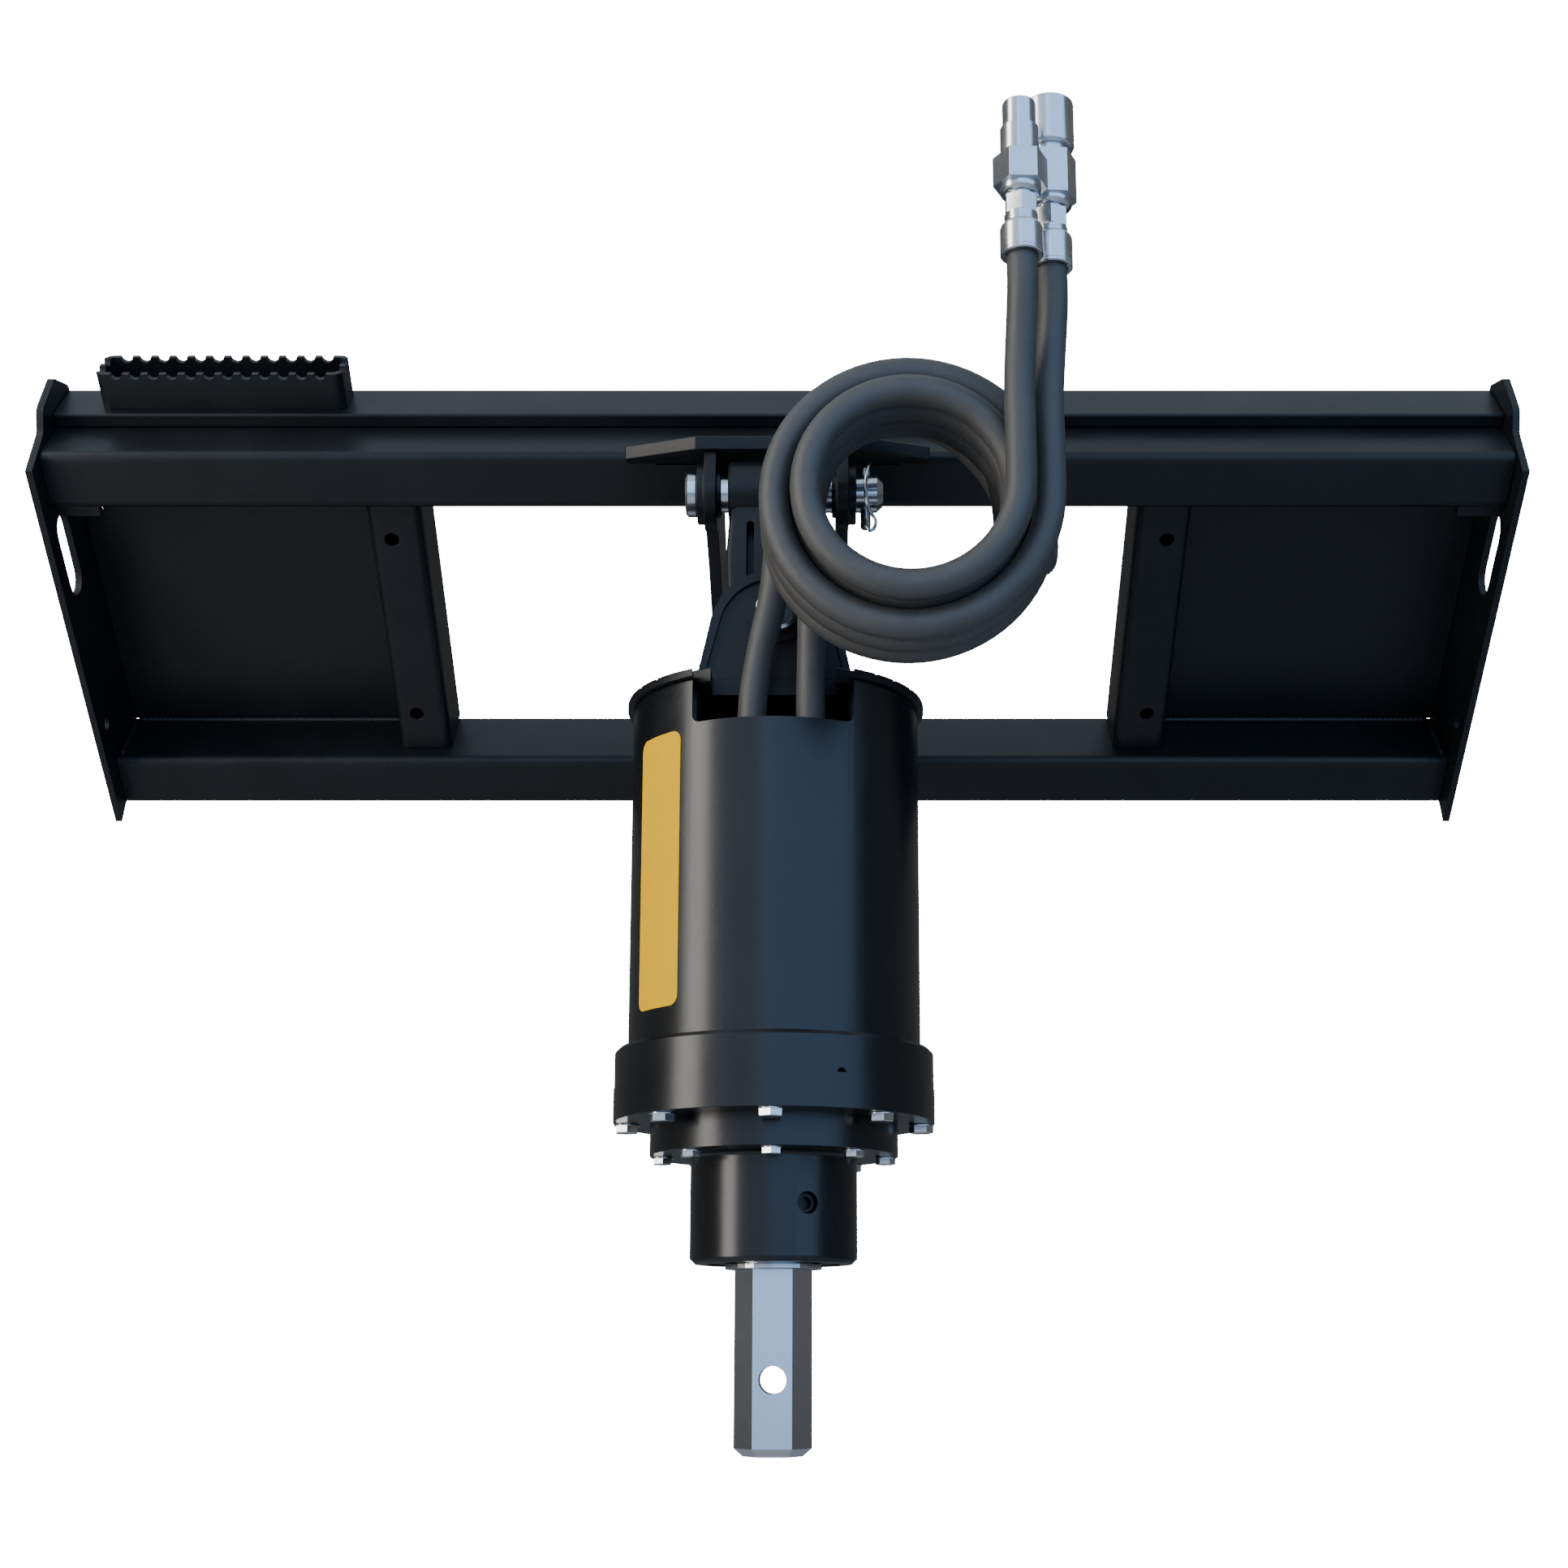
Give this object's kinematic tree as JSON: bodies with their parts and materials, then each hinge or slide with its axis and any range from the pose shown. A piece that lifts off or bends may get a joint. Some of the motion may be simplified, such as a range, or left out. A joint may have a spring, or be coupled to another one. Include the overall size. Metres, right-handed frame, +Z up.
{
  "type": "skid steer auger drive",
  "caption": "Hydraulic earth auger drive with a hex output shaft, hung from a swinging cradle on a skid-steer mounting frame, with coiled hoses and quick couplers.",
  "frame": {"origin": "middle of the frame's rear plane, between its two rails, where the loader's coupler holds it", "axes": "+X along the rails to the right as seen from the front, +Y backward toward the loader, +Z up along the hanging drive; the frame is rolled 50 degrees about X"},
  "size_m": [1.235, 0.6032, 0.9764],
  "materials": {
    "side_plate_left": "satin black powder coat",
    "side_plate_right": "satin black powder coat",
    "top_rail": "satin black powder coat",
    "bottom_rail": "satin black powder coat",
    "top_lip": "satin black powder coat",
    "coupler_plate_left": "satin black powder coat",
    "coupler_plate_right": "satin black powder coat",
    "guide_post_left": "satin black powder coat",
    "guide_post_right": "satin black powder coat",
    "step_tread": "satin black powder coat",
    "rail_doubler": "satin black powder coat",
    "hitch_top_plate": "satin black powder coat",
    "hitch_ear_left": "satin black powder coat",
    "hitch_ear_right": "satin black powder coat",
    "upper_pin": "bright zinc-plated steel",
    "linch_pin": "bright zinc-plated steel",
    "linch_ring": "bright zinc-plated steel",
    "cradle_link": "satin black powder coat",
    "upper_bush": "bare machined steel",
    "lower_bush": "bare machined steel",
    "hood": "satin black powder coat",
    "lower_pin": "bright zinc-plated steel",
    "lower_pin_washer": "bright zinc-plated steel",
    "head_plate": "satin black powder coat",
    "tie_rod_1": "bright zinc-plated steel",
    "tie_rod_2": "bright zinc-plated steel",
    "tie_rod_3": "bright zinc-plated steel",
    "tie_rod_4": "bright zinc-plated steel",
    "motor_shell": "gloss black powder coat",
    "cap_ring": "satin black powder coat",
    "gearbox_cover": "gloss black powder coat",
    "gearbox_base": "gloss black powder coat",
    "output_housing": "gloss black powder coat",
    "oil_plug": "bare machined steel",
    "upper_bearing": "bare machined steel",
    "lower_bearing": "bare machined steel",
    "shaft_seal": "matte dark grey rubber",
    "hydraulic_motor": "painted casting",
    "return_adaptor": "bright zinc-plated steel",
    "pressure_adaptor": "bright zinc-plated steel",
    "return_hose_run": "matte dark grey rubber",
    "pressure_hose_run": "matte dark grey rubber",
    "return_hose_coil": "matte dark grey rubber",
    "pressure_hose_coil": "matte dark grey rubber",
    "pressure_hose_riser": "matte dark grey rubber",
    "return_hose_riser": "matte dark grey rubber",
    "pressure_ferrule": "bright zinc-plated steel",
    "return_ferrule": "bright zinc-plated steel",
    "male_coupler": "bright zinc-plated steel",
    "female_coupler": "bright zinc-plated steel",
    "female_sleeve": "bright zinc-plated steel",
    "ring_gear": "bare machined steel",
    "output_shaft": "bare machined steel",
    "planet_carrier": "bare machined steel",
    "shaft_slinger": "bare machined steel",
    "sun_gear": "bare machined steel",
    "planet_gear_1": "bare machined steel",
    "planet_gear_2": "bare machined steel",
    "planet_gear_3": "bare machined steel"
  },
  "bodies": {
    "mounting_frame": {"side_plate_left": "side_plate_left", "side_plate_right": "side_plate_right", "top_rail": "top_rail", "bottom_rail": "bottom_rail", "top_lip": "top_lip", "coupler_plate_left": "coupler_plate_left", "coupler_plate_right": "coupler_plate_right", "guide_post_left": "guide_post_left", "guide_post_right": "guide_post_right", "step_tread": "step_tread", "rail_doubler": "rail_doubler", "hitch_top_plate": "hitch_top_plate", "hitch_ear_left": "hitch_ear_left", "hitch_ear_right": "hitch_ear_right", "upper_pin": "upper_pin", "linch_pin": "linch_pin", "linch_ring": "linch_ring"},
    "swing_link": {"cradle_link": "cradle_link", "upper_bush": "upper_bush", "lower_bush": "lower_bush"},
    "drive_unit": {"hood": "hood", "lower_pin": "lower_pin", "lower_pin_washer": "lower_pin_washer", "head_plate": "head_plate", "tie_rod_1": "tie_rod_1", "tie_rod_2": "tie_rod_2", "tie_rod_3": "tie_rod_3", "tie_rod_4": "tie_rod_4", "motor_shell": "motor_shell", "cap_ring": "cap_ring", "gearbox_cover": "gearbox_cover", "gearbox_base": "gearbox_base", "output_housing": "output_housing", "oil_plug": "oil_plug", "upper_bearing": "upper_bearing", "lower_bearing": "lower_bearing", "shaft_seal": "shaft_seal", "hydraulic_motor": "hydraulic_motor", "return_adaptor": "return_adaptor", "pressure_adaptor": "pressure_adaptor", "return_hose_run": "return_hose_run", "pressure_hose_run": "pressure_hose_run", "return_hose_coil": "return_hose_coil", "pressure_hose_coil": "pressure_hose_coil", "pressure_hose_riser": "pressure_hose_riser", "return_hose_riser": "return_hose_riser", "pressure_ferrule": "pressure_ferrule", "return_ferrule": "return_ferrule", "male_coupler": "male_coupler", "female_coupler": "female_coupler", "female_sleeve": "female_sleeve", "ring_gear": "ring_gear"},
    "output_shaft": {"output_shaft": "output_shaft", "planet_carrier": "planet_carrier", "shaft_slinger": "shaft_slinger"},
    "sun_gear": {"sun_gear": "sun_gear"},
    "planet_gear_1": {"planet_gear_1": "planet_gear_1"},
    "planet_gear_2": {"planet_gear_2": "planet_gear_2"},
    "planet_gear_3": {"planet_gear_3": "planet_gear_3"}
  },
  "joints": [
    {"name": "frame_swing", "type": "hinge", "parent": "mounting_frame", "child": "swing_link", "pos_m": [0, -0.20941, 0.00915], "axis": [1, 0, 0], "range_deg": [-35, 20]},
    {"name": "cradle_tilt", "type": "hinge", "parent": "swing_link", "child": "drive_unit", "pos_m": [0.003, -0.20441, -0.10985], "axis": [0, 1, 0], "range_deg": [-20, 20]},
    {"name": "shaft_spin", "type": "hinge", "parent": "drive_unit", "child": "output_shaft", "pos_m": [0, -0.20441, -0.67985], "axis": [0, 0, 1], "continuous": true},
    {"name": "sun_spin", "type": "hinge", "parent": "drive_unit", "child": "sun_gear", "pos_m": [0, -0.20441, -0.47785], "axis": [0, 0, 1], "continuous": true},
    {"name": "planet_spin_1", "type": "hinge", "parent": "output_shaft", "child": "planet_gear_1", "pos_m": [0.063, -0.20441, -0.47785], "axis": [0, 0, 1], "continuous": true},
    {"name": "planet_spin_2", "type": "hinge", "parent": "output_shaft", "child": "planet_gear_2", "pos_m": [-0.0315, -0.14985, -0.47785], "axis": [0, 0, 1], "continuous": true},
    {"name": "planet_spin_3", "type": "hinge", "parent": "output_shaft", "child": "planet_gear_3", "pos_m": [-0.0315, -0.25897, -0.47785], "axis": [0, 0, 1], "continuous": true}
  ],
  "couplings": [
    {"joint": "sun_spin", "follows": "shaft_spin", "ratio": 4},
    {"joint": "planet_spin_1", "follows": "shaft_spin", "ratio": -3},
    {"joint": "planet_spin_2", "follows": "shaft_spin", "ratio": -3},
    {"joint": "planet_spin_3", "follows": "shaft_spin", "ratio": -3}
  ]
}
